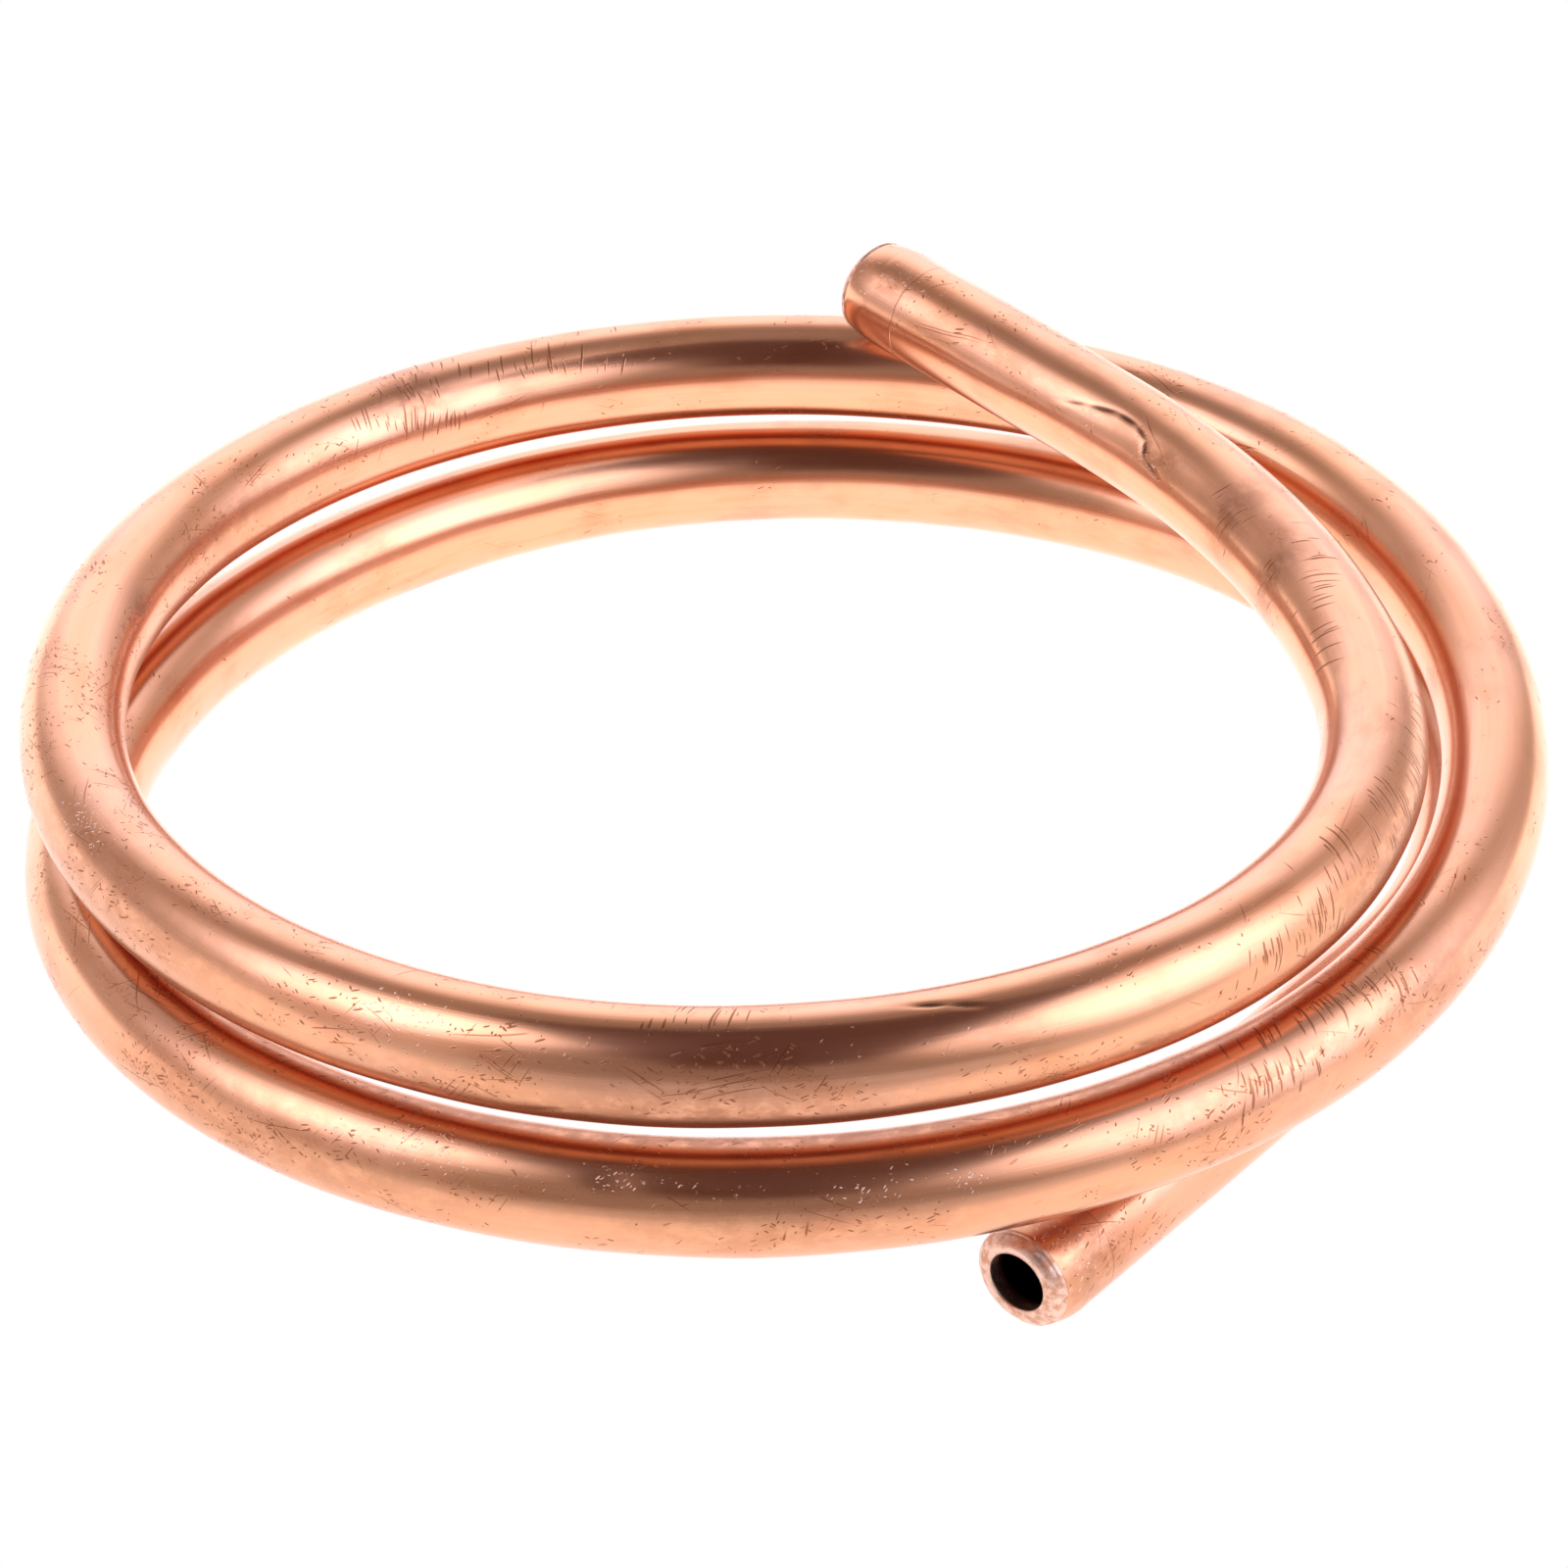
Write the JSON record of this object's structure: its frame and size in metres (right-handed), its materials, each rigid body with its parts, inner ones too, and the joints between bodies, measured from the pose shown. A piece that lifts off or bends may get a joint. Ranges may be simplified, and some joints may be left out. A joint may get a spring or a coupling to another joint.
{
  "type": "immersion wort chiller",
  "caption": "Open hand-wound coil of bare soft metal tube with two plain cut ends, for passing cold water through a vessel of hot liquid to cool it",
  "frame": {"origin": "centre of the bottom of the bounding box: the middle of the coil on the surface that it lies on", "axes": "+Z is the winding axis of the coil, up; -Y is the front, where the lower open end comes out; +X is right. Seen from above, the tube winds clockwise from the upper end down."},
  "size_m": [0.1384, 0.1407, 0.0345],
  "materials": {
    "copper": "bare drawn soft copper, bright with light tarnish, fine scratches, small pits and dark smudges",
    "cut_copper": "bare copper, freshly cut with a tube cutter, pinker face with fine turned lines and a burr"
  },
  "bodies": {
    "root": {"upper_end": "cut_copper", "upper_lead": "copper", "turn1_right": "copper", "turn1_front": "copper", "turn1_front_left": "copper", "turn1_back_left": "copper", "turn1_back": "copper", "turn1_back_right": "copper", "turn2_right": "copper", "turn2_front": "copper", "turn2_front_left": "copper", "turn2_back_left": "copper", "turn2_back": "copper", "turn2_back_right": "copper", "lower_lead": "copper", "lower_end": "cut_copper"}
  },
  "joints": []
}
